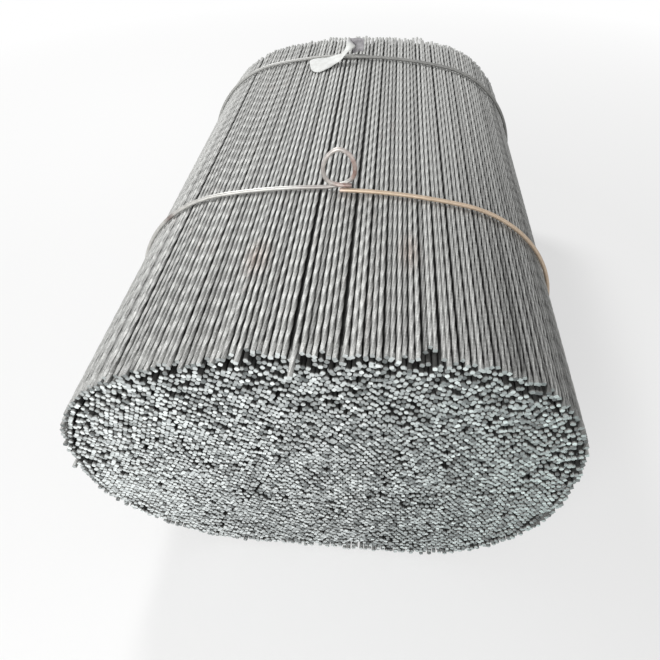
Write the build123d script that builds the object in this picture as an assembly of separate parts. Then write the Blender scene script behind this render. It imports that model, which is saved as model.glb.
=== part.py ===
import math
import os

from build123d import *

# Bundle of twisted square reinforcing bars held by two wire ties.
# Millimetres. The bars run along Y, the end that shows is at -Y, +Z is up and
# the floor is at z = 0, under the lowest points of the ties.

# Bars
bar_side = 6.0
bar_gap = 0.95
bar_length = 1000.0
end_lean_share = 0.08
end_scatter = 14.0
scatter_shares = (0.0, 0.55, -0.3, 0.15, -0.6, 0.35, -0.1, 0.8, -0.45, 0.25, -0.75)
seam_offsets = (-29.0, 28.0)
patch_size = 53.0
patch_scatter = 8.0
patch_bond_share = 0.5
core_setback = 2.0

# Cross-section of the whole bundle, round the outside of the bars
flat_width = 248.0
corner_radius = 218.0
flank_height = 35.0
shoulder_radius = 203.0
crown_dome = 14.5

# Wire ties
tie_diameter = 6.5
tie_gap = 0.4
seat_gap = 0.3
front_tie_from_end = 328.0
rear_tie_from_end = 864.0
wire_sides = 10
loop_offset = 0.0
loop_width = 52.0
loop_height = 66.0
loop_points = 12
lap_offset = -20.0
lap_length = 70.0

# Tag folded over the rear tie
tag_reach = 100.0
tag_tail = 42.0
tag_width = 52.0
tag_neck = 14.0
tail_width = 26.0
tag_thickness = 0.8
tag_rise = 30.0
tag_bend_share = 0.5
tag_shoulder_share = 0.8
tag_corner_share = 0.2
tag_heading_share = 0.56

bar_pitch = bar_side + bar_gap
tie_radius = tie_diameter / 2
tie_inset = -seat_gap - tie_radius
half_step = (tie_diameter + tie_gap) / 2
floor_gap = tie_diameter + seat_gap
half_width = flat_width / 2 + corner_radius
quarter_turn = math.pi / 2
half_corner = quarter_turn / 2
crown_rise = shoulder_radius + crown_dome
shoulder_reach = half_width - shoulder_radius
crown_radius = (shoulder_reach**2 + crown_rise**2 - shoulder_radius**2) / (2 * crown_dome)
crown_turn = math.atan2(shoulder_reach, crown_radius - crown_rise)
shoulder_turn = quarter_turn - crown_turn
bundle_height = corner_radius + flank_height + crown_rise
bundle_top = floor_gap + bundle_height
front_tie_y = front_tie_from_end - bar_length / 2
rear_tie_y = rear_tie_from_end - bar_length / 2

# The outline clockwise from the middle of the crown: node, radius or length, turn
sections = (
    ("top_bars", crown_radius, crown_turn),
    ("right_side_bars", shoulder_radius, shoulder_turn),
    ("right_side_bars", flank_height, 0),
    ("right_side_bars", corner_radius, half_corner),
    ("bottom_bars", corner_radius, half_corner),
    ("bottom_bars", flat_width, 0),
    ("bottom_bars", corner_radius, half_corner),
    ("left_side_bars", corner_radius, half_corner),
    ("left_side_bars", flank_height, 0),
    ("left_side_bars", shoulder_radius, shoulder_turn),
    ("top_bars", crown_radius, crown_turn),
)


def run(size, turn, inset):
    """Length of one section of the outline at a depth inside it."""
    if turn:
        return (size - inset) * turn
    return size


def perimeter(inset):
    return sum(run(size, turn, inset) for name, size, turn in sections)


def walk(distance, inset):
    """Node, x, z and heading at a distance along the outline, at a depth inside it."""
    left = distance % perimeter(inset)
    x, z, heading = 0.0, bundle_top - inset, 0.0
    for name, size, turn in sections:
        length = run(size, turn, inset)
        step = min(left, length)
        if turn:
            radius = size - inset
            x -= radius * math.sin(heading)
            z -= radius * math.cos(heading)
            heading += step / radius
            x += radius * math.sin(heading)
            z += radius * math.cos(heading)
        else:
            x += step * math.cos(heading)
            z -= step * math.sin(heading)
        left -= length
        if left <= 0:
            break
    return name, x, z, heading


def at(distance, inset, y):
    name, x, z, heading = walk(distance, inset)
    return (x, y, z)


def lean(x, z):
    """How far bars stand along Y at a place in the section: more to the sides, most on top."""
    return end_lean_share * x * (z - floor_gap) / bundle_height


def scatter(index):
    return scatter_shares[index % len(scatter_shares)]


def bar_layer(inset):
    """Square bars side by side round the bundle, ends a little out of line, with a bar missing at each seam."""
    count = int(perimeter(inset) / bar_pitch)
    step = perimeter(inset) / count
    missing = [round(offset / step) % count for offset in seam_offsets]
    bars = []
    for index in range(count):
        if index in missing:
            continue
        name, x, z, heading = walk(index * step, inset)
        place = Location((x, lean(x, z) + end_scatter * scatter(index), z), (0, math.degrees(heading), 0))
        bars.append((name, place * Box(bar_side, bar_length, bar_side)))
    return bars


def outline_edges(station, inset, first, last, shift):
    """Edges along the outline; the flat underneath carries the shift along the bars."""
    edges = []
    whole = perimeter(inset)
    start = -whole
    while start < last:
        for name, size, turn in sections:
            end = start + run(size, turn, inset)
            near, far = max(start, first), min(end, last)
            start = end
            if far - near <= seat_gap:
                continue
            mid = (near + far) / 2
            y = station - shift if mid < whole / 2 else station + shift
            if turn:
                edges.append(ThreePointArc(at(near, inset, y), at(mid, inset, y), at(far, inset, y)))
            elif shift and name == "bottom_bars":
                ends = [at(near, inset, station - shift), at(far, inset, station + shift)]
                edges.append(Spline(ends, tangents=[(-1, 0, 0), (-1, 0, 0)]))
            else:
                edges.append(Line(at(near, inset, y), at(far, inset, y)))
    return edges


def wire(edges):
    """Round wire in flats, one of its corners towards the floor."""
    path = Wire(edges)
    start = Plane(path @ 0, x_dir=(0, 1, 0), z_dir=path % 0)
    return sweep(start * RegularPolygon(tie_radius, wire_sides, rotation=math.degrees(quarter_turn)), path=path)


def tie(station, first, last):
    """Wire once round the bundle, stepping sideways underneath to clear its own start."""
    return wire(outline_edges(station, tie_inset, first, last, half_step))


def tie_loop(station, distance):
    """Curl of the same wire: up behind the tie, over and down in front of it."""
    name, x, z, heading = walk(distance, tie_inset)
    along = Vector(math.cos(heading), 0, -math.sin(heading))
    out = Vector(math.sin(heading), 0, math.cos(heading))
    half_wide = (loop_width - tie_diameter) / 2
    half_high = (loop_height - tie_diameter) / 2
    points = []
    for index in range(loop_points + 1):
        angle = 2 * math.pi * index / loop_points
        side = Vector(x, station + half_step * math.cos(angle / 2), z)
        points.append(side + along * half_wide * math.sin(angle) + out * half_high * (1 - math.cos(angle)))
    return wire([Spline(points, tangents=[along, along], tangent_scalars=[1, 1])])


def hidden_core():
    """One block for the bars inside; patches of it end at their own length, like groups of bars."""
    inset = bar_side + seat_gap
    section = make_face(outline_edges(0, inset, 0, perimeter(inset), 0))
    columns = math.ceil(2 * half_width / patch_size + patch_bond_share)
    half = bar_length / 2 - core_setback
    rows = []
    for row in range(math.ceil(bundle_height / patch_size)):
        base = floor_gap + row * patch_size
        front, back = [], []
        for column in range(columns):
            edge = (column - row % 2 * patch_bond_share) * patch_size - half_width
            shift = lean(edge + patch_size / 2, base + patch_size / 2)
            shift += patch_scatter * scatter(row * columns + column)
            for x in (edge, edge + patch_size):
                front.append((x, shift - half))
                back.append((x, shift + half))
        plan = make_face(Polyline(*front, *reversed(back), close=True))
        rows.append(extrude(Pos(0, 0, base) * plan, amount=patch_size))
    return extrude(section, amount=bar_length, dir=(0, 1, 0), both=True) & rows[0].fuse(*rows[1:])


def blank_tag():
    """Strip folded over the lapped ends of the rear tie, its broad round end lying on the bars."""
    low = seat_gap + tag_thickness / 2
    bend = tag_reach * tag_bend_share
    lying = Line((tag_reach, 0, low), (bend, 0, low))
    rising = TangentArc(lying @ 1, (bend / 2, 0, (low + tag_rise) / 2), tangent=lying % 1)
    cresting = TangentArc(rising @ 1, (0, 0, tag_rise), tangent=rising % 1)
    falling = TangentArc(cresting @ 1, (-tag_tail, 0, low), tangent=cresting % 1)
    start = Plane(lying @ 0, x_dir=(0, 1, 0), z_dir=lying % 0)
    fold = Wire([lying, rising, cresting, falling])
    strip = sweep(start * Rectangle(tag_width, tag_thickness), path=fold)
    half = [
        (-tag_tail - tag_rise, tail_width / 2),
        (-tag_tail / 2, tail_width / 2),
        (0, tag_neck / 2),
        (bend, tag_shoulder_share * tag_width / 2),
        (tag_reach, tag_width / 2),
    ]
    plan = make_face(Polyline(*half, *[(x, -y) for x, y in reversed(half)], close=True))
    plan = fillet(plan.vertices().sort_by(Axis.X)[-2:], tag_corner_share * tag_width)
    trimmed = strip & extrude(plan, amount=tag_rise + tag_width, both=True)
    name, x, z, heading = walk(lap_offset, 0)
    along = Vector(math.cos(heading), 0, -math.sin(heading))
    out = Vector(math.sin(heading), 0, math.cos(heading))
    turn = quarter_turn * tag_heading_share
    reach = -along * math.sin(turn) - Vector(0, math.cos(turn), 0)
    return Plane((x, rear_tie_y, z), x_dir=reach, z_dir=out).location * trimmed


nodes = {}
for name, bar in bar_layer(bar_side / 2):
    nodes.setdefault(name, []).append(bar)
nodes["inner_bars"] = [hidden_core()]
tie_run = perimeter(tie_inset)
nodes["front_tie"] = [tie(front_tie_y, loop_offset, loop_offset + tie_run)]
nodes["front_tie_loop"] = [tie_loop(front_tie_y, loop_offset)]
lap_start = lap_offset - lap_length / 2
nodes["rear_tie"] = [tie(rear_tie_y, lap_start, lap_start + tie_run + lap_length)]
nodes["tag"] = [blank_tag()]

os.makedirs("parts", exist_ok=True)
for name, solids in nodes.items():
    export_step(Compound(children=solids), f"parts/{name}.step")
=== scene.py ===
import math

import bpy
import numpy as np
from mathutils import Matrix, Vector, kdtree


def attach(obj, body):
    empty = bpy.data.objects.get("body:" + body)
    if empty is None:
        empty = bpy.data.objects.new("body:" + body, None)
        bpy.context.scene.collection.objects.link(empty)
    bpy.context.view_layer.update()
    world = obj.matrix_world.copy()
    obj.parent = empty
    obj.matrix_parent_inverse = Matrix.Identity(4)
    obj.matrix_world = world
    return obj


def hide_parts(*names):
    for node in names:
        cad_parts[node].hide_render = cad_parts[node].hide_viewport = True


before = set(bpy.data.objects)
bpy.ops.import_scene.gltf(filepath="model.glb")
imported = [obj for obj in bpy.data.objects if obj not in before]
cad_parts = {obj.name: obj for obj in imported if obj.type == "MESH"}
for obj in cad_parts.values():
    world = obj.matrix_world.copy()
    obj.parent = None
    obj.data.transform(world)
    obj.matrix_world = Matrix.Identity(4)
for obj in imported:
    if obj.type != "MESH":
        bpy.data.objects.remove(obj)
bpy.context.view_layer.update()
scene = bpy.context.scene
rng = np.random.default_rng(11)

# Sizes in metres, as in the solids
bar_side = 0.006
bar_pitch = 0.00695
bar_length = 1.0
end_lean = 0.08
end_scatter = 0.014
scatter_shares = (0.0, 0.55, -0.3, 0.15, -0.6, 0.35, -0.1, 0.8, -0.45, 0.25, -0.75)
seam_offsets = (-0.029, 0.028)
patch_size = 0.053
patch_scatter = 0.008
patch_bond = 0.5
flat_width = 0.248
corner_radius = 0.218
flank_height = 0.035
shoulder_radius = 0.203
crown_dome = 0.0145
tie_diameter = 0.0065
tie_gap = 0.0004
seat_gap = 0.0003
front_tie_y = 0.328 - bar_length / 2
rear_tie_y = 0.864 - bar_length / 2
lap_offset = -0.020
lap_length = 0.070

# Outer bars: their twist, the flats between the cut corners, and the rings of points along them
twist_length = 0.131
twisted_side = 0.0052
corner_cut = 0.0006
flat_share = 0.5
crisp_angle = 1.1
bar_rings = {
    "top_bars": 150,
    "right_side_bars": 110,
    "bottom_bars": 64,
    "left_side_bars": 140,
    "under_seams": 90,
}

# Seams and the parting: how far the bars move over, how many of them, and the bars that show below
seam_closing = 0.0022
seam_bars = 8
parting = -0.230
parting_width = 0.0028
parting_bars = 16
under_inset = 0.0092
under_seam = (-0.0052, 0.0019, 0.009)
under_parting = (-0.0035, 0.0036)

# How unevenly the outer bars lie; on the left they turn nearly together
sunk_scatter = 0.0005
side_scatter = 0.00045
aim_scatter = 0.001
turn_scatter = 0.75
left_turn_scatter = 0.17
left_turn_edge = -0.12
end_share = 0.35
end_jitter = 0.0025
low_end_share = 0.4
under_end_jitter = 0.003

# Brightness of the outer bars: at the middle, its fall to the sides, which is painted shade on the flanks,
# and under the openings
bar_tone = 0.58
painted_flank_shade = 0.35
bar_tone_reach = 0.3
bar_tone_scatter = 0.2
under_tone = 0.4
under_tone_scatter = 0.15

# The length at the bars' ends that lies open, and how deep its grooves count for the painted groove shade
bar_showing = 0.02
open_depth = 0.0016

# Places along x where the front ends stand back, with how wide and how far, and one bar pulled out
set_back = ((-0.068, 0.011, 0.013), (0.123, 0.012, 0.018))
pulled_bar = (-0.021, 0.030)

# Bar ends: their size, their places, and the few that are missing
stub_side = 0.0052
stub_cut = 0.0011
stub_depth = 0.034
stub_corners = 8
stub_spacing = 0.00685
stub_inset = 0.0094
stub_row = 0.0060
stub_jitter = 0.0003
lost_share = 0.01
holes = ((-0.0328, 0.382), (-0.0221, 0.381), (0.0154, 0.3966))
hole_gap = 0.75 * bar_side

# Packing of the bar ends: patches of rows, most of them turned alike, in degrees, then pushed apart
grain_count = 16
grain_turn = -51
grain_turn_scatter = 3.5
alike_share = 0.92
spare_rows = 12
column_share = 0.93
row_share = 0.931
touching_share = 0.945
crowded_share = 0.62
push_share = 0.42
push_rounds = 16
same_spot = 1e-9
room_share = 0.88
room_steps = 5

# How far the bar ends stand out, more at the upper rim, and how far they tilt, less at the rim
ragged_inside = 0.0010
ragged_rim = 0.0036
rim_depth = 0.04
stand_limit = 0.01
patch_share = 0.6
patch_fade = 0.36
stub_tilt = 0.07
rim_hold = 0.15
least_tilt = 0.1

# Brightness of the bar ends across the bundle, painted paler on the left and a little darker on the right as
# light falls, and the painted shade on their sides that deepens behind their tips, lessened near the left
# and right edges
end_tone = (0.48, -0.22, 0.12)
end_tone_scatter = 0.28
right_evenness = 0.06
tip_shade = 0.0012
root_shade = 0.0400
paler_at = (-0.8, -0.5, 0.3, 0.8)
paler_by = (0.0014, 0, 0, 0.0018)

# Dark body behind the gaps
mass_inset = 0.0125
mass_setback = 0.026
mass_sides = 120

# Points along the ties and round the wire
wire_sides = 14
front_tie_steps = 260
rear_tie_steps = 270
curl_steps = 110

# Curl of the front tie: along the tie, up from it, and towards the rear; its end lies over the tie's start
curl_knots = (
    (-0.034, -0.0006, 0.00345), (-0.016, 0.0004, 0.0040), (0.0, 0.0036, 0.0052), (0.013, 0.0095, 0.0054),
    (0.021, 0.019, 0.0040), (0.0228, 0.034, 0.0024), (0.0165, 0.052, 0.0010), (0.001, 0.0622, 0.0),
    (-0.0130, 0.0550, -0.0008), (-0.0212, 0.041, -0.0014), (-0.0225, 0.027, -0.0018),
    (-0.0178, 0.0150, -0.0018), (-0.008, 0.0090, -0.0014), (0.003, 0.0067, -0.0010),
    (0.012, 0.0063, -0.0008), (0.0185, 0.0062, -0.0006),
)
tie_start = 0.001

# Colours of the front tie, as strengths at shares of the way round it or along its curl
tan_end = 0.5
pink_round = ((0, 0.0091), (0.7, 0))
brown_round = ((0.9767, 0.9933), (0, 0.4))
pink_curl = ((0.205, 0.33, 0.83, 0.955), (0, 0.42, 0.42, 0))
brown_curl = ((0.0667, 0.1222, 0.9375, 1), (0.4, 0, 0, 0.25))

# A brown patch on the left flank and its fading, and two bends of the curl painted pinker and darker: place,
# length and stain
flank_patch = (-0.275, 0.424)
flank_fade = ((0.0036, 0.0156), (1, 0))
dark_bends = ((0.30, 0.08, 0.35), (0.94, 0.11, 0.7))
bend_pink = 0.75

# Rusty patches on the top bars: middle and reach on the plan
rust_patches = (((-0.093, -0.33), (0.022, 0.05)), ((0.103, -0.303), (0.02, 0.05)))

# Both edges of the tag from its broad end, up over the rear tie to its folded back end
tag_upper = (
    (-0.108, 0.350, 0.4765), (-0.0865, 0.351, 0.480), (-0.065, 0.352, 0.4835), (-0.050, 0.350, 0.4875),
    (-0.0367, 0.347, 0.492), (-0.0308, 0.354, 0.500), (-0.0278, 0.359, 0.5085), (-0.0233, 0.367, 0.5136),
    (-0.0152, 0.3722, 0.5146), (-0.003, 0.3735, 0.5145), (0.008, 0.3725, 0.513),
)
tag_lower = (
    (-0.0964, 0.2957, 0.4738), (-0.078, 0.2897, 0.4755), (-0.0587, 0.304, 0.478), (-0.047, 0.318, 0.4825),
    (-0.0375, 0.321, 0.488), (-0.0255, 0.334, 0.496), (-0.0105, 0.352, 0.503), (-0.0085, 0.366, 0.500),
    (-0.0145, 0.3722, 0.484), (-0.003, 0.3735, 0.4885), (0.0085, 0.3712, 0.4885),
)
tag_rows = 90
tag_columns = 12
tag_corner = 0.010
tag_thickness = 0.0006
tag_wave = 0.0009
tag_wave_along = 120
tag_wave_across = 3.4
tag_cup = 0.0035
tag_fold_length = 0.042
tag_fold_fade = 0.008

# Floor, light and camera, which is fitted to the photograph
floor_half = 30
floor_white = 0.6
floor_fade = (0.9, 2.6)
sky_strength = 0.27
photo_pixels = 660
focal_pixels = 562.601
sensor_width = 36
camera_spot = Vector((0.065311, -0.901459, 0.919384))
yaw, pitch, roll = -0.116979, 0.785042, 0.032716

# Outline of the bundle, clockwise from the middle of the crown
tie_radius = tie_diameter / 2
tie_inset = -seat_gap - tie_radius
half_step = (tie_diameter + tie_gap) / 2
half_width = flat_width / 2 + corner_radius
crown_rise = shoulder_radius + crown_dome
reach = half_width - shoulder_radius
crown_radius = (reach**2 + crown_rise**2 - shoulder_radius**2) / (2 * crown_dome)
crown_turn = math.atan2(reach, crown_radius - crown_rise)
shoulder_turn = math.pi / 2 - crown_turn
floor_gap = tie_diameter + seat_gap
bundle_height = corner_radius + flank_height + crown_rise
bundle_top = floor_gap + bundle_height
outline = (
    (crown_radius, crown_turn),
    (shoulder_radius, shoulder_turn),
    (flank_height, 0),
    (corner_radius, math.pi / 2),
    (flat_width, 0),
    (corner_radius, math.pi / 2),
    (flank_height, 0),
    (shoulder_radius, shoulder_turn),
    (crown_radius, crown_turn),
)


def run(size, turn, inset):
    """Length of one section of the outline at a depth inside it."""
    return (size - inset) * turn if turn else size


def perimeter(inset):
    return sum(run(size, turn, inset) for size, turn in outline)


def lean(x, z):
    """How far the ends stand back at a place in the section: more to the right, most on top."""
    return end_lean * x * (z - floor_gap) / bundle_height


def scatter(index):
    return np.take(scatter_shares, index % len(scatter_shares))


def walk(distance, inset):
    """x and z at a distance along the outline, at a depth inside it."""
    left = distance % perimeter(inset)
    x, z, heading = 0.0, bundle_top - inset, 0.0
    for size, turn in outline:
        length = run(size, turn, inset)
        step = min(left, length)
        if turn:
            radius = size - inset
            x -= radius * math.sin(heading)
            z -= radius * math.cos(heading)
            heading += step / radius
            x += radius * math.sin(heading)
            z += radius * math.cos(heading)
        else:
            x += step * math.cos(heading)
            z -= step * math.sin(heading)
        left -= length
        if left <= 0:
            break
    return x, z


def ring(count, inset):
    """Places evenly round the outline, at a depth inside it."""
    return [walk(i * perimeter(inset) / count, inset) for i in range(count)]


def depth(x, z):
    """How deep points lie under the outline, less than zero outside it."""
    x = np.abs(x)
    low = floor_gap + corner_radius
    level = low + flank_height
    crown_centre = bundle_top - crown_radius
    crown = crown_radius - np.hypot(x, z - crown_centre)
    shoulder = shoulder_radius - np.hypot(x - reach, z - level)
    corner = corner_radius - np.hypot(x - flat_width / 2, z - low)
    upper = np.where(np.arctan2(x, z - crown_centre) < crown_turn, crown, shoulder)
    lower = np.where(x > flat_width / 2, corner, z - floor_gap)
    return np.where(z > level, upper, np.where(z > low, half_width - x, lower))


# Node trees
class Sock:
    """An output socket; arithmetic on it adds Math nodes to its tree."""

    def __init__(self, graph, socket):
        self.graph = graph
        self.socket = socket

    def math(self, operation, a, b):
        return self.graph.add("ShaderNodeMath", {"operation": operation}, {0: a, 1: b})

    def __add__(self, other):
        return self.math("ADD", self, other)

    def __sub__(self, other):
        return self.math("SUBTRACT", self, other)

    def __rsub__(self, other):
        return self.math("SUBTRACT", other, self)

    def __mul__(self, other):
        return self.math("MULTIPLY", self, other)

    def __gt__(self, other):
        return self.math("GREATER_THAN", self, other)

    def __lt__(self, other):
        return self.math("LESS_THAN", self, other)

    __radd__ = __add__
    __rmul__ = __mul__


class Graph:
    """A node tree to which nodes are added by type, settings and inputs."""

    def __init__(self, tree):
        self.tree = tree

    def add(self, kind, settings=None, inputs=None, out=0):
        node = self.tree.nodes.new(kind)
        for key, value in (settings or {}).items():
            setattr(node, key, value)
        for key, value in (inputs or {}).items():
            if isinstance(value, Sock):
                self.tree.links.new(value.socket, node.inputs[key])
            else:
                node.inputs[key].default_value = value
        return Sock(self, node.outputs[out]) if node.outputs else node

    def mix(self, factor, a, b):
        """Colour a turning into colour b by a factor."""
        a, b = (colour if isinstance(colour, Sock) else (*colour, 1) for colour in (a, b))
        return self.add("ShaderNodeMix", {"data_type": "RGBA"}, {0: factor, 6: a, 7: b}, 2)

    def noise(self, vector, scale, detail):
        sizes = {"Scale": scale, "Detail": detail, "Roughness": 0.55}
        return self.add("ShaderNodeTexNoise", None, {"Vector": vector, **sizes})

    def stretch(self, vector, scale):
        return self.add("ShaderNodeMapping", None, {"Vector": vector, "Scale": scale})

    def ramp(self, value, low, high):
        """0 below low, 1 above high, straight between."""
        limits = {"Value": value, "From Min": low, "From Max": high}
        return self.add("ShaderNodeMapRange", {"clamp": True}, limits)

    def axis(self, vector, name):
        return self.add("ShaderNodeSeparateXYZ", None, {0: vector}, name)

    def length(self, vector):
        return self.add("ShaderNodeVectorMath", {"operation": "LENGTH"}, {0: vector}, "Value")

    def near(self, place, centre, reach):
        """1 at a place on the plan, fading to 0 at a distance from it."""
        scale = (1 / reach[0], 1 / reach[1], 0)
        shift = (-centre[0] / reach[0], -centre[1] / reach[1], 0)
        moved = self.add("ShaderNodeMapping", None, {"Vector": place, "Location": shift, "Scale": scale})
        return 1 - self.ramp(self.length(moved), 0.2, 1.0)

    def bump(self, height, strength, distance):
        sizes = {"Strength": strength, "Distance": distance}
        return self.add("ShaderNodeBump", None, {"Height": height, **sizes})

    def attribute(self, name):
        return self.add("ShaderNodeAttribute", {"attribute_name": name}, None, "Fac")

    def place(self):
        return self.add("ShaderNodeTexCoord", None, None, "Object")


def emptied(owner):
    """The graph of a material or a world, with nothing in it yet."""
    owner.use_nodes = True
    owner.node_tree.nodes.clear()
    return Graph(owner.node_tree)


# Finishes
def material(name, finish):
    """A material whose finish function returns the shader's inputs."""
    made = bpy.data.materials.new(name)
    graph = emptied(made)
    shader = graph.add("ShaderNodeBsdfPrincipled", None, finish(graph, graph.place()))
    graph.add("ShaderNodeOutputMaterial", None, {"Surface": shader})
    return made


def bar_finish(graph, place):
    """Grey mill scale, streaked along the bar, with near-white specks painted as glints, and painted shade
    that darkens the grooves.
    """
    tone = graph.attribute("tone")
    sunk = graph.attribute("sunk")
    streak = graph.noise(graph.stretch(place, (1, 0.06, 1)), 420, 3)
    cloud = graph.noise(place, 12, 3)
    # To the right the bars are painted paler and their grooves darker: painted light and shade for more
    # contrast there
    right = graph.ramp(graph.axis(place, "X"), 0.05, 0.25)
    level = graph.ramp(tone * 0.5 + streak * 0.35 + cloud * 0.3 + right * 0.14, 0.25, 0.9)
    colour = graph.mix(level, (0.25, 0.25, 0.24), (0.62, 0.625, 0.605))
    rust = sum(graph.near(place, centre, reach) for centre, reach in rust_patches)
    specks = graph.ramp(graph.noise(graph.stretch(place, (1, 0.3, 1)), 60, 3), 0.62, 0.75)
    colour = graph.mix(rust * 0.4 + specks * 0.12, colour, (0.36, 0.23, 0.17))
    # Painted shade: the deeper a point lies between the bars, the darker it is painted, less so towards the
    # rear
    rear = graph.ramp(graph.axis(place, "Y"), -0.3, 0.35)
    groove_shade = graph.ramp(sunk + right * 0.0011, 0.0008, 0.0038) * (1 - rear * 0.5)
    grit_and_glints = graph.noise(graph.stretch(place, (1, 0.5, 1)), 1300, 2)
    # Painted glints: near-white specks stand in for glints on the bars; the same noise also bumps the
    # surface
    colour = graph.mix(graph.ramp(grit_and_glints, 0.54, 0.66) * 0.7, colour, (0.95, 0.955, 0.94))
    return {
        "Base Color": graph.mix(groove_shade, colour, (0.045, 0.045, 0.043)),
        "Metallic": 0.25,
        "Roughness": 0.45 + streak * 0.2 + groove_shade * 0.25,
        "Normal": graph.bump(grit_and_glints, 0.3, 0.0004),
    }


def end_finish(graph, place):
    """Sheared bar ends, each with its own brightness, cool grey."""
    tone = graph.attribute("tone")
    grain = graph.noise(place, 900, 2)
    level = graph.ramp(tone + (grain - 0.5) * 0.5, 0.0, 1.0)
    right = graph.ramp(graph.axis(place, "X"), 0.05, 0.3)
    bright = graph.mix(right, (0.80, 0.845, 0.84), (0.72, 0.84, 0.82))
    return {
        "Base Color": graph.mix(level, (0.13, 0.145, 0.145), bright),
        "Metallic": 0.3,
        "Roughness": 0.4 + grain * 0.2,
        "Normal": graph.bump(grain, 0.35, 0.0006),
    }


def shade_finish(graph, place):
    """Bars deep inside, in shadow."""
    streak = graph.noise(graph.stretch(place, (1, 0.03, 1)), 160, 2)
    return {
        "Base Color": graph.mix(streak, (0.03, 0.03, 0.028), (0.12, 0.12, 0.115)),
        "Metallic": 0.2,
        "Roughness": 0.8,
    }


def front_wire_finish(graph, place):
    """Grey wire with pale worn patches, tan with rust on the right, pink round the curl."""
    rust = graph.attribute("rust")
    blush = graph.attribute("blush")
    stain = graph.attribute("stain")
    mottle = graph.noise(place, 160, 4)
    fine = graph.noise(place, 1100, 2)
    grey = graph.mix(mottle, (0.38, 0.375, 0.355), (0.68, 0.675, 0.645))
    tan = graph.mix(mottle, (0.42, 0.31, 0.21), (0.70, 0.57, 0.44))
    pink = graph.mix(graph.ramp(mottle, 0.35, 0.6), (0.54, 0.35, 0.30), (0.77, 0.67, 0.62))
    colour = graph.mix(graph.ramp(rust + (mottle - 0.5) * 0.5, 0.3, 0.7), grey, tan)
    colour = graph.mix(graph.ramp(blush + (mottle - 0.5) * 0.4, 0.3, 0.8), colour, pink)
    return {
        "Base Color": graph.mix(stain, colour, (0.10, 0.05, 0.04)),
        "Metallic": 0.4,
        "Roughness": 0.28 + mottle * 0.25,
        "Normal": graph.bump(fine, 0.2, 0.0004),
    }


def rear_wire_finish(graph, place):
    """Dull grey wire, paler on the left."""
    mottle = graph.noise(place, 160, 4)
    right = graph.ramp(graph.axis(place, "X"), -0.12, 0.04)
    pale = graph.mix(mottle, (0.30, 0.30, 0.287), (0.55, 0.55, 0.53))
    dull = graph.mix(mottle, (0.17, 0.17, 0.163), (0.36, 0.36, 0.345))
    return {
        "Base Color": graph.mix(right, pale, dull),
        "Metallic": 0.35,
        "Roughness": 0.4 + mottle * 0.25,
    }


def tag_finish(graph, place):
    """Blank white tag, a little creased and soiled, its folded end painted grey as in shade."""
    fold = graph.attribute("fold")
    crease = graph.noise(place, 90, 4)
    soil = graph.ramp(graph.noise(place, 70, 4), 0.42, 0.68)
    white = graph.mix(soil * 0.75, (0.81, 0.825, 0.805), (0.64, 0.64, 0.615))
    # Painted shade: the folded end is the same white strip, painted grey as if in shade
    grey = graph.mix(graph.ramp(crease, 0.35, 0.65), (0.32, 0.31, 0.325), (0.60, 0.585, 0.605))
    return {
        "Base Color": graph.mix(fold, white, grey),
        "Roughness": 0.6,
        "Specular IOR Level": 0.25,
        "Normal": graph.bump(crease, 0.25, 0.002),
    }


steel = material("mill_steel", bar_finish)
sheared = material("sheared_ends", end_finish)
shade = material("inner_shadow", shade_finish)
front_wire = material("front_wire", front_wire_finish)
rear_wire = material("rear_wire", rear_wire_finish)
tag_white = material("tag_white", tag_finish)


# Geometry trees
def tree(name, **inputs):
    """An empty geometry tree with named inputs; returns its graph and its input sockets."""
    made = bpy.data.node_groups.new(name, "GeometryNodeTree")
    made.interface.new_socket("Geometry", in_out="INPUT", socket_type="NodeSocketGeometry")
    for label, kind in inputs.items():
        made.interface.new_socket(label, in_out="INPUT", socket_type="NodeSocket" + kind)
    made.interface.new_socket("Geometry", in_out="OUTPUT", socket_type="NodeSocketGeometry")
    graph = Graph(made)
    start = graph.add("NodeGroupInput").socket.node
    return graph, {socket.name: Sock(graph, socket) for socket in start.outputs if socket.name}


def close_tree(graph, geometry):
    graph.add("NodeGroupOutput", None, {0: graph.add("GeometryNodeRealizeInstances", None, {0: geometry})})
    return graph.tree


def along_curve(graph, line, profile):
    """A closed solid with a profile along a line."""
    parts = {"Curve": line, "Profile Curve": profile, "Fill Caps": True}
    return graph.add("GeometryNodeCurveToMesh", None, parts)


def square_bar(graph, socket, start, end, rings, turns):
    """A square bar with its corners cut and a twist, along Y."""
    line = graph.add("GeometryNodeCurvePrimitiveLine", None, {"Start": start, "End": end})
    line = graph.add("GeometryNodeResampleCurve", {"mode": "COUNT"}, {"Curve": line, "Count": rings})
    tilt = graph.add("GeometryNodeSplineParameter") * turns * math.tau
    line = graph.add("GeometryNodeSetCurveTilt", None, {"Curve": line, "Tilt": tilt})
    side = {"Width": socket["Bar side"], "Height": socket["Bar side"]}
    profile = graph.add("GeometryNodeCurvePrimitiveQuadrilateral", None, side)
    rounding = {"Curve": profile, "Radius": socket["Corner cut"], "Count": 1}
    profile = graph.add("GeometryNodeFilletCurve", {"mode": "POLY"}, rounding)
    return along_curve(graph, line, profile)


def smooth_sides(graph, mesh):
    """Smooth shading along the bar with crisp edges round its ends."""
    mesh = graph.add("GeometryNodeSetShadeSmooth", {"domain": "FACE"}, {0: mesh, "Shade Smooth": True})
    crisp = graph.add("GeometryNodeInputMeshEdgeAngle") > crisp_angle
    edges = {0: mesh, "Selection": crisp, "Shade Smooth": False}
    return graph.add("GeometryNodeSetShadeSmooth", {"domain": "EDGE"}, edges)


def end_faces(graph):
    """Selects the faces that look along the bar."""
    along = graph.axis(graph.add("GeometryNodeInputNormal"), "Y")
    return along * along > 0.5


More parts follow.
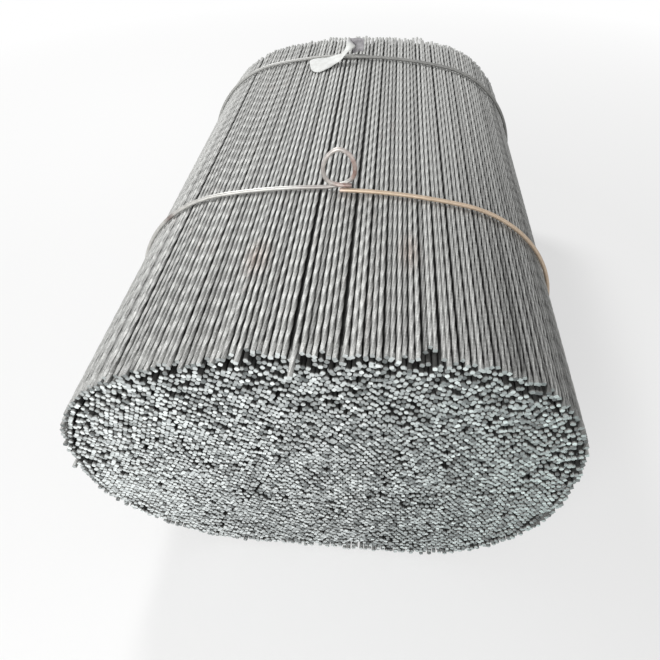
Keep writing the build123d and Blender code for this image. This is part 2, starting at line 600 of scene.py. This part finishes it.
def on_points(graph, socket, mesh):
    """The same bar on every point, turned as the point says, in steel with sheared ends."""
    mesh = smooth_sides(graph, mesh)
    mesh = graph.add("GeometryNodeSetMaterial", None, {0: mesh, "Material": socket["Steel"]})
    sheared_ends = {0: mesh, "Selection": end_faces(graph), "Material": socket["Ends"]}
    mesh = graph.add("GeometryNodeSetMaterial", None, sheared_ends)
    aim = graph.add("GeometryNodeInputNamedAttribute", {"data_type": "FLOAT_VECTOR"}, {"Name": "aim"})
    spread = {"Points": socket["Geometry"], "Instance": mesh, "Rotation": aim}
    return close_tree(graph, graph.add("GeometryNodeInstanceOnPoints", None, spread))


def bar_tree():
    """Whole twisted bars, one on each point."""
    sizes = {"Bar side": "Float", "Corner cut": "Float", "Bar length": "Float", "Turns": "Float"}
    graph, socket = tree("twisted_bars", **sizes, Rings="Int", Steel="Material", Ends="Material")
    half = socket["Bar length"] * 0.5
    start = graph.add("ShaderNodeCombineXYZ", None, {"Y": half * -1})
    end = graph.add("ShaderNodeCombineXYZ", None, {"Y": half})
    bar = square_bar(graph, socket, start, end, socket["Rings"], socket["Turns"])
    return on_points(graph, socket, bar)


def stub_tree():
    """The showing ends of the bars inside, one on each point, reaching inwards from it."""
    sizes = {"Bar side": "Float", "Corner cut": "Float", "Depth": "Float"}
    graph, socket = tree("bar_ends", **sizes, Steel="Material", Ends="Material")
    end = graph.add("ShaderNodeCombineXYZ", None, {"Y": socket["Depth"]})
    return on_points(graph, socket, square_bar(graph, socket, (0, 0, 0), end, 2, 0.0))


def wire_tree():
    """Round wire along a chain of points."""
    graph, socket = tree("round_wire", Radius="Float", Sides="Int", Finish="Material")
    path = graph.add("GeometryNodeMeshToCurve", None, {0: socket["Geometry"]})
    round_profile = {"Resolution": socket["Sides"], "Radius": socket["Radius"]}
    profile = graph.add("GeometryNodeCurvePrimitiveCircle", None, round_profile)
    tube = smooth_sides(graph, along_curve(graph, path, profile))
    tube = graph.add("GeometryNodeSetMaterial", None, {0: tube, "Material": socket["Finish"]})
    return close_tree(graph, tube)


# Making of pieces
def plain(piece):
    """Turns a piece's modifiers into a plain mesh."""
    depsgraph = bpy.context.evaluated_depsgraph_get()
    mesh = bpy.data.meshes.new_from_object(piece.evaluated_get(depsgraph), depsgraph=depsgraph)
    piece.modifiers.clear()
    piece.data = mesh
    mesh.name = piece.name
    return piece


def put(name, data):
    made = bpy.data.objects.new(name, data)
    scene.collection.objects.link(made)
    return made


def grow(name, mesh, made, **values):
    """Runs a tree on a mesh of points and keeps the result as a plain mesh."""
    piece = put(name, mesh)
    grower = piece.modifiers.new("grow", "NODES")
    grower.node_group = made
    for item in made.interface.items_tree:
        if item.in_out == "INPUT" and item.name in values:
            grower[item.identifier] = values[item.name]
    return plain(piece)


def mark(mesh, **extras):
    """Keeps numbers or vectors on a mesh's points."""
    for label, values in extras.items():
        values = np.asarray(values, np.float32)
        kind, field = ("FLOAT_VECTOR", "vector") if values.ndim == 2 else ("FLOAT", "value")
        layer = mesh.attributes.new(label, kind, "POINT")
        layer.data.foreach_set(field, values.ravel())
    return mesh


def faced(name, places, faces, finish):
    """A mesh of faces in one finish."""
    mesh = bpy.data.meshes.new(name)
    mesh.from_pydata([tuple(place) for place in places], [], faces)
    mesh.materials.append(finish)
    return mesh


def points(name, places, edges=(), **extras):
    """A mesh of points, loose or joined by edges, with values on them."""
    mesh = bpy.data.meshes.new(name)
    mesh.from_pydata([tuple(place) for place in places], list(edges), [])
    return mark(mesh, **extras)


def vectors(rows, field):
    """The vectors that a mesh keeps in one field of its points, corners or faces."""
    values = np.empty(len(rows) * 3, np.float32)
    rows.foreach_get(field, values)
    return values.reshape(-1, 3)


def settle(piece, slot, *nodes):
    """Puts a finished piece on the bundle in place of its solids."""
    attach(piece, "root")
    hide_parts(*nodes)


def keep_depth(piece):
    """Keeps on a piece's points how deep they lie in the bundle, for the painted shade in the grooves; at
    the bars' ends they lie open.
    """
    x, y, z = vectors(piece.data.vertices, "co").T
    sunk = depth(x, z)
    at_end = np.abs(y) > bar_length / 2 - bar_showing
    mark(piece.data, sunk=np.where(at_end, np.minimum(sunk, open_depth), sunk))
    return piece


def firm_sides(piece, share):
    """Turns the shading of each face part of the way to its own flat, so that the twist can be read."""
    mesh = piece.data
    sides = np.empty(len(mesh.polygons), np.int32)
    mesh.polygons.foreach_get("loop_total", sides)
    flats = np.repeat(vectors(mesh.polygons, "normal"), sides, axis=0)
    facing = vectors(mesh.corner_normals, "vector") * (1 - share) + flats * share
    mesh.normals_split_custom_set(facing / np.linalg.norm(facing, axis=1)[:, None])
    return piece


# Outer bars, round the same outline as the solids, closed up at the seams and apart at the parting
ring_inset = bar_side / 2
ring_run = perimeter(ring_inset)
ring_count = int(ring_run / bar_pitch)
ring_step = ring_run / ring_count
missing = [round(offset / ring_step) for offset in seam_offsets]
crown_end = crown_turn * (crown_radius - ring_inset)
side_end = crown_end + shoulder_turn * (shoulder_radius - ring_inset) + flank_height
side_end += (corner_radius - ring_inset) * math.pi / 4


def bar_group(distance):
    """The group of bars at a distance round the outline, less than zero to the left."""
    if abs(distance) <= crown_end:
        return "top_bars"
    if abs(distance) > side_end:
        return "bottom_bars"
    return "right_side_bars" if distance > 0 else "left_side_bars"


def moved_over(number):
    """How far a bar moves along the outline, into the seams and away from the parting."""
    moved = 0
    for seam in missing:
        gap = number - seam
        moved += math.copysign(seam_closing * max(1 - (abs(gap) - 1) / seam_bars, 0), -gap)
    gap = number - parting / ring_step
    return moved + math.copysign(parting_width * max(1 - abs(gap) / parting_bars, 0), gap)


groups = {name: [] for name in bar_rings}
phase = 0.0
for index in range(ring_count):
    number = index if index < ring_count / 2 else index - ring_count
    if number in missing:
        continue
    distance = number * ring_step
    name = bar_group(distance)
    sunk = ring_inset + abs(rng.normal(0, sunk_scatter))
    x, z = walk(distance + moved_over(number) + rng.normal(0, side_scatter), sunk)
    phase += rng.normal(0, turn_scatter if x > left_turn_edge else left_turn_scatter)
    shift = end_share * end_scatter * scatter(index) + rng.normal(0, end_jitter)
    shift *= 1 if z > bundle_top / 2 else low_end_share
    if name == "top_bars":
        shift += sum(back for middle, wide, back in set_back if abs(x - middle) < wide)
        if abs(x - pulled_bar[0]) < bar_side / 2:
            shift = -pulled_bar[1]
    aim = (rng.normal(0, aim_scatter), phase, rng.normal(0, aim_scatter))
    # The fall of tone towards the sides is painted shade on the flanks; the scatter is the bars' own tone
    tone = rng.normal(bar_tone - painted_flank_shade * min(abs(x) / bar_tone_reach, 1), bar_tone_scatter)
    groups[name].append(((x, lean(x, z) + shift, z), aim, tone))

# A second layer that shows down the open seams and the parting
openings = [(seam * ring_step, along) for seam in missing for along in under_seam]
openings += [(parting, along) for along in under_parting]
for middle, along in openings:
    x, z = walk(middle + along, under_inset)
    aim = (0, rng.uniform(0, math.tau), 0)
    place = (x, lean(x, z) + rng.normal(0, under_end_jitter), z)
    groups["under_seams"].append((place, aim, rng.normal(under_tone, under_tone_scatter)))

bars = bar_tree()
finishes = {"Steel": steel, "Ends": sheared}
bar_sizes = {"Bar side": twisted_side, "Corner cut": corner_cut, "Bar length": bar_length}
bar_sizes["Turns"] = bar_length / twist_length
for name, rows in groups.items():
    places, aims, tones = zip(*rows)
    mesh = points(name, places, aim=aims, tone=tones)
    piece = grow("twisted_" + name, mesh, bars, **bar_sizes, **finishes, Rings=bar_rings[name])
    node = "inner_bars" if name == "under_seams" else name
    settle(firm_sides(keep_depth(piece), flat_share), "bar_steel", node)


# Bars inside: their packed ends at both ends of the bundle
def spot_tree(spots):
    """A search tree over places in the section."""
    found = kdtree.KDTree(len(spots))
    for number, (x, z) in enumerate(spots):
        found.insert((x, z, 0), number)
    found.balance()
    return found


def grains(spacing, inset):
    """Bar centres in patches of close packing, most of the patches turned nearly alike."""
    seeds = np.c_[rng.uniform(-half_width, half_width, grain_count), rng.uniform(0, bundle_top, grain_count)]
    count = int(2 * half_width / spacing) + spare_rows
    rows, columns = np.meshgrid(np.arange(-count, count), np.arange(-count, count), indexing="ij")
    staggered = (columns + 0.5 * (rows % 2)).ravel()
    lattice = np.c_[staggered * column_share, rows.ravel() * row_share] * spacing
    found = []
    for number, seed in enumerate(seeds):
        if rng.random() < alike_share:
            angle = math.radians(grain_turn + rng.normal(0, grain_turn_scatter))
        else:
            angle = rng.uniform(0, math.pi / 3)
        turn = np.array([[math.cos(angle), -math.sin(angle)], [math.sin(angle), math.cos(angle)]])
        spots = lattice @ turn.T + seed + rng.uniform(0, spacing, 2)
        spots = spots[depth(*spots.T) > inset]
        away = ((spots[:, None] - seeds[None]) ** 2).sum(-1)
        found.append(spots[away.argmin(1) == number])
    return np.vstack(found)


def pushed_apart(spots, spacing, inset):
    """The same centres without the crowded ones, each pushed away from those too near, over and over."""
    touching = spacing * touching_share
    for turn in range(push_rounds):
        near_spots = spot_tree(spots)
        moved = spots.copy()
        keep = np.ones(len(spots), bool)
        for number, (x, z) in enumerate(spots):
            for near, other, gap in near_spots.find_range((x, z, 0), touching):
                if other == number or gap < same_spot:
                    continue
                if turn == 0 and gap < spacing * crowded_share and other < number and keep[other]:
                    keep[number] = False
                push = (touching - gap) * push_share / gap
                moved[number] += (spots[number] - np.array(near[:2])) * push
        stay = depth(*moved.T) > inset
        spots = np.where(stay[:, None], moved, spots)[keep]
    return spots


def filled(spots, spacing, inset):
    """The same centres with more in the places that still have room for a bar."""
    fine = spacing / room_steps
    room = spacing * room_share
    wide = np.arange(-half_width, half_width, fine)
    high = np.arange(floor_gap, bundle_top, fine)
    tries = np.stack(np.meshgrid(wide, high), -1).reshape(-1, 2)
    tries = tries[depth(*tries.T) > inset]
    near_spots = spot_tree(spots)
    gaps = np.array([near_spots.find((x, z, 0))[2] for x, z in tries])
    added = np.empty((0, 2))
    for place in tries[gaps > room]:
        if np.hypot(*(added - place).T).min(initial=spacing) > room:
            added = np.vstack([added, place])
    return np.vstack([spots, added])


def clear_of(spots, others, gap):
    """The centres that keep a gap to all the others."""
    away = spots[:, None] - np.asarray(others)[None]
    return spots[np.hypot(*away.transpose(2, 0, 1)).min(1) > gap]


def patch_stand(x, z):
    """How far the groups of bars round a place stand out, each group fading into the next."""
    columns = math.ceil(2 * half_width / patch_size + patch_bond)
    rows = math.ceil(bundle_height / patch_size)
    row, column = np.divmod(np.arange(rows * columns), columns)
    middle_x = (column + 0.5 - row % 2 * patch_bond) * patch_size - half_width
    middle_z = floor_gap + (row + 0.5) * patch_size
    away = (x[:, None] - middle_x) ** 2 + (z[:, None] - middle_z) ** 2
    weight = np.exp(-away / (2 * (patch_fade * patch_size) ** 2))
    return patch_scatter * (weight * scatter(np.arange(rows * columns))).sum(1) / weight.sum(1)


ends = stub_tree()
end_sizes = {"Bar side": stub_side, "Corner cut": stub_cut, "Depth": stub_depth}
inner_inset = stub_inset + stub_row
rim = ring(int(perimeter(stub_inset) / stub_spacing), stub_inset)
inside = pushed_apart(grains(stub_spacing, inner_inset), stub_spacing, inner_inset)
spots = filled(np.vstack([rim, inside]), stub_spacing, stub_inset)
spots += rng.normal(0, stub_jitter, spots.shape)
spots = clear_of(spots, [(x, z) for (x, y, z), aim, tone in groups["under_seams"]], bar_side)
for side, name in ((-1, "front_bar_ends"), (1, "rear_bar_ends")):
    kept = spots[rng.random(len(spots)) > lost_share]
    if side < 0:
        kept = clear_of(kept, holes, hole_gap)
    count = len(kept)
    x, z = kept.T
    inwards = depth(x, z) / rim_depth
    ragged = ragged_inside + ragged_rim * np.exp(-inwards) * (z > bundle_top / 2)
    stand = np.clip(rng.normal(0, 1, count) * ragged, -stand_limit, stand_limit)
    stand += patch_share * patch_stand(x, z)
    y = side * bar_length / 2 + stand + lean(x, z)
    loose = stub_tilt * np.clip(inwards - rim_hold, least_tilt, 1)
    aims = np.c_[rng.normal(0, loose), rng.uniform(0, math.tau, count), rng.normal(0, loose)]
    if side > 0:
        aims[:, 2] += math.pi
    # Painted light: the ends are painted paler on the left and a little darker on the right, for light
    # falling from the left; the scatter is their own tone
    across = x / half_width
    middle, slope, curve = end_tone
    spread = end_tone_scatter - right_evenness * np.clip(across, 0, 1)
    tones = np.clip(rng.normal(middle + slope * across + curve * across**2, spread), 0, 1)
    mesh = points(name, np.c_[x, y, z], aim=aims, tone=tones)
    piece = grow(name, mesh, ends, **end_sizes, **finishes)
    # Painted shade on the ends' sides: dark at their roots, light near their tips, lessened near the left
    # and right edges
    at_root = np.arange(2 * stub_corners * count) % (2 * stub_corners) >= stub_corners
    paler = np.repeat(np.interp(across, paler_at, paler_by), 2 * stub_corners)
    mark(piece.data, sunk=np.where(at_root, root_shade, tip_shade) - paler)
    settle(piece, "bar_steel", "inner_bars")


# Dark body behind the gaps
def prism(name, inset, half, sides):
    """A block with the bundle's outline and leaning ends."""
    verts = [(x, lean(x, z) + side * half, z) for side in (-1, 1) for x, z in ring(sides, inset)]
    faces = [(i, (i + 1) % sides, sides + (i + 1) % sides, sides + i) for i in range(sides)]
    faces.append(tuple(reversed(range(sides))))
    faces.append(tuple(range(sides, 2 * sides)))
    return put(name, faced(name, verts, faces, shade))


mass = prism("inner_bar_mass", mass_inset, bar_length / 2 - mass_setback, mass_sides)
settle(mass, "inner_steel", "inner_bars")


# Ties
def smooth_path(knots, count):
    """Points along a smooth line through the knots."""
    knots = np.asarray(knots, float)
    held = np.vstack([2 * knots[0] - knots[1], knots, 2 * knots[-1] - knots[-2]])
    places = np.linspace(0, len(knots) - 1, count)
    spans = np.minimum(places.astype(int), len(knots) - 2)
    t = (places - spans)[:, None]
    a, b, c, d = (held[spans + k] for k in range(4))
    bend = (2 * a - 5 * b + 4 * c - d) * t**2 + (3 * b - a - 3 * c + d) * t**3
    return (2 * b + (c - a) * t + bend) / 2


def tie_route(station, first, last, steps):
    """Once round the bundle, with a sideways step under it."""
    flat_start = perimeter(tie_inset) / 2 - flat_width / 2
    route = []
    for distance in np.linspace(first, last, steps):
        x, z = walk(distance, tie_inset)
        share = min(max((distance - flat_start) / flat_width, 0), 1)
        route.append((x, station - half_step * math.cos(math.pi * share), z))
    return route


def wire(tie, route, finish, **colours):
    """Round wire along the route of a tie."""
    links = [(i, i + 1) for i in range(len(route) - 1)]
    mesh = points(tie, route, links, **colours)
    return grow(tie + "_wire", mesh, wires, Radius=tie_radius, Sides=wire_sides, Finish=finish)


def front_tie_colours(around, curl):
    """Tan, pink and brown of the front tie at the points round the bundle and along the curl."""
    round_share = np.linspace(0, 1, len(around))
    curl_share = np.linspace(0, 1, len(curl))
    x, y, z = np.array(around).T
    flank = np.interp(np.hypot(x - flank_patch[0], z - flank_patch[1]), *flank_fade)
    blush = np.interp(curl_share, *pink_curl)
    stain = np.interp(curl_share, *brown_curl)
    for middle, wide, share in dark_bends:
        there = np.exp(-((curl_share - middle) / wide) ** 2)
        blush += bend_pink * there
        stain += share * there
    return {
        "rust": np.r_[(round_share < tan_end) * 1.0, curl_share * 0],
        "blush": np.r_[np.interp(round_share, *pink_round), blush],
        "stain": np.r_[flank + np.interp(round_share, *brown_round), stain],
    }


wires = wire_tree()
whole = perimeter(tie_inset)
around = tie_route(front_tie_y, tie_start, whole + curl_knots[0][0], front_tie_steps)
curl = [
    (along, front_tie_y + back, bundle_top - tie_inset + up)
    for along, up, back in smooth_path(curl_knots, curl_steps)[1:]
]
piece = wire("front_tie", around + curl, front_wire, **front_tie_colours(around, curl))
settle(piece, "front_tie_wire", "front_tie", "front_tie_loop")

lap_start = lap_offset - lap_length / 2
lapped = tie_route(rear_tie_y, lap_start, lap_start + whole + lap_length, rear_tie_steps)
settle(wire("rear_tie", lapped, rear_wire), "rear_tie_wire", "rear_tie")


# Tag
def tag_strip():
    """The strip between the tag's two edges, its broad end rounded, slightly cupped and waved."""
    upper = smooth_path(tag_upper, tag_rows)
    lower = smooth_path(tag_lower, tag_rows)
    middle = (upper + lower) / 2
    run_in = np.r_[0, np.cumsum(np.linalg.norm(np.diff(middle, axis=0), axis=1))]
    wide = np.linalg.norm(upper - lower, axis=1)
    left = np.clip(tag_corner - run_in, 0, tag_corner)
    trim = (tag_corner - np.sqrt(tag_corner**2 - left**2)) / wide
    share = trim[:, None] + np.linspace(0, 1, tag_columns)[None] * (1 - 2 * trim[:, None])
    grid = upper[:, None] + (lower - upper)[:, None] * share[..., None]
    facing = np.cross(lower - upper, np.gradient(middle, axis=0))
    facing /= np.linalg.norm(facing, axis=1)[:, None]
    wave = tag_wave * np.sin(run_in * tag_wave_along)[:, None] * np.cos(share * tag_wave_across)
    wave += tag_cup * share * (1 - share)
    grid += facing[:, None] * wave[..., None]
    faces = []
    for row in range(tag_rows - 1):
        for column in range(tag_columns - 1):
            corner = row * tag_columns + column
            faces.append((corner, corner + tag_columns, corner + tag_columns + 1, corner + 1))
    mesh = faced("tag_strip", grid.reshape(-1, 3), faces, tag_white)
    mesh.shade_smooth()
    # Marks the folded end, which the finish paints grey as shade
    fold = np.clip((run_in - run_in[-1] + tag_fold_length) / tag_fold_fade, 0, 1)
    mark(mesh, fold=np.repeat(fold, tag_columns))
    piece = put("tag_strip", mesh)
    wall = piece.modifiers.new("wall", "SOLIDIFY")
    wall.thickness = tag_thickness
    wall.offset = 0
    return plain(piece)


settle(tag_strip(), "tag_white", "tag")


# Floor, lights and camera
def seen_plainly(graph):
    """1 for what the camera sees straight, mirrored or through glass, 0 for light falling on the bundle."""
    kinds = ("Is Camera Ray", "Is Glossy Ray", "Is Transmission Ray")
    return sum(graph.add("ShaderNodeLightPath", None, None, kind) for kind in kinds)


def floor_material():
    """Matt white, seen partly as plain white so that it stays pale, with the bundle's shadow on it."""
    made = bpy.data.materials.new("pale_floor")
    graph = emptied(made)
    matt = graph.add("ShaderNodeBsdfDiffuse", None, {"Color": (0.86, 0.86, 0.855, 1)})
    white = graph.add("ShaderNodeEmission", None, {"Color": (1, 1, 1, 1), "Strength": 1.0})
    far = graph.ramp(graph.length(graph.place()), *floor_fade)
    share = seen_plainly(graph) * (floor_white + far * (1 - floor_white))
    both = graph.add("ShaderNodeMixShader", None, {0: share, 1: matt, 2: white})
    graph.add("ShaderNodeOutputMaterial", None, {"Surface": both})
    return made


def pale_world():
    """Soft white light all round, seen as plain white."""
    made = bpy.data.worlds.new("studio")
    graph = emptied(made)
    soft = graph.add("ShaderNodeBackground", None, {"Color": (1, 1, 1, 1), "Strength": sky_strength})
    white = graph.add("ShaderNodeBackground", None, {"Color": (1, 1, 1, 1), "Strength": 1.0})
    both = graph.add("ShaderNodeMixShader", None, {0: seen_plainly(graph), 1: soft, 2: white})
    graph.add("ShaderNodeOutputWorld", None, {"Surface": both})
    return made


def lamp(name, spot, target, size, power):
    light = bpy.data.lights.new(name, "AREA")
    light.energy = power
    light.size = size
    made = put(name, light)
    made.location = spot
    made.rotation_euler = (Vector(target) - Vector(spot)).to_track_quat("-Z", "Y").to_euler()


corners = [(x * floor_half, y * floor_half, 0) for x, y in ((-1, -1), (1, -1), (1, 1), (-1, 1))]
put("floor", faced("floor", corners, [(0, 1, 2, 3)], floor_material()))
scene.world = pale_world()
lamp("key", spot=(-1.2, 1.5, 2.3), target=(0, 0.1, 0.45), size=0.6, power=46)
lamp("fill", spot=(-0.6, -2.3, 1.3), target=(0, -0.45, 0.25), size=1.6, power=46)

ahead = Vector((math.sin(yaw) * math.cos(pitch), math.cos(yaw) * math.cos(pitch), -math.sin(pitch)))
level_right = Vector((math.cos(yaw), -math.sin(yaw), 0))
down = ahead.cross(level_right)
view_right = level_right * math.cos(roll) + down * math.sin(roll)
view_up = level_right * math.sin(roll) - down * math.cos(roll)
camera = put("camera", bpy.data.cameras.new("camera"))
camera.data.sensor_width = sensor_width
camera.data.lens = focal_pixels / photo_pixels * sensor_width
camera.data.clip_start = 0.01
turned = Matrix((view_right, view_up, -ahead)).transposed().to_4x4()
turned.translation = camera_spot
camera.matrix_world = turned
scene.camera = camera
scene.view_settings.view_transform = "Standard"
